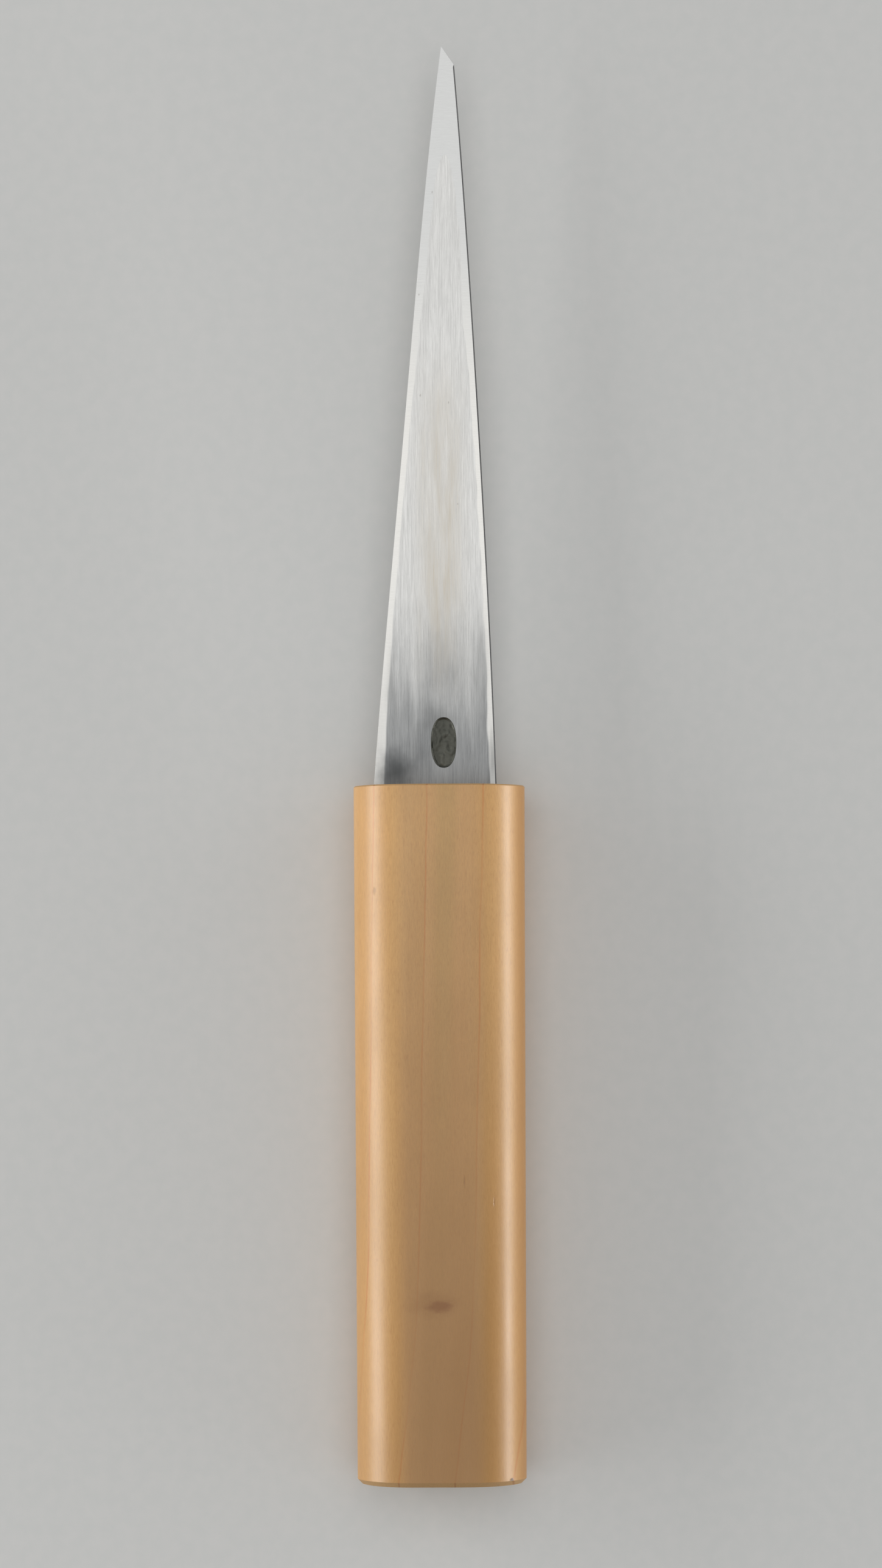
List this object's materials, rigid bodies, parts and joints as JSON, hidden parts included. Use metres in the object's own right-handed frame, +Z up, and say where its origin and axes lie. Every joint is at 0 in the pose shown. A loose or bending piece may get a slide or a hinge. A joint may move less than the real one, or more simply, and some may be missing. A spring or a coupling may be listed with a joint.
{
  "type": "single-bevel knife",
  "caption": "Long narrow hand-forged single-bevel knife with a hollow-ground back, in a plain flattened-oval wooden handle of glued halves.",
  "frame": {"origin": "middle of the underside: halfway along the knife, on the handle's centre line, in the plane it rests on", "axes": "+Y from the butt to the point, +X from the cutting edge to the spine, +Z up out of the hollow-ground back of the blade"},
  "size_m": [0.035, 0.2952, 0.02],
  "materials": {
    "hard_steel": "hand-ground, stone-polished rim",
    "soft_iron": "hand-filed, slightly dull",
    "handle_wood": "plain planed wood, satin from handling",
    "glue": "thin dark hairline"
  },
  "bodies": {
    "root": {"edge_steel": "hard_steel", "iron_body": "soft_iron", "handle_front_half": "handle_wood", "handle_back_half": "handle_wood", "glue_line": "glue"}
  },
  "joints": []
}
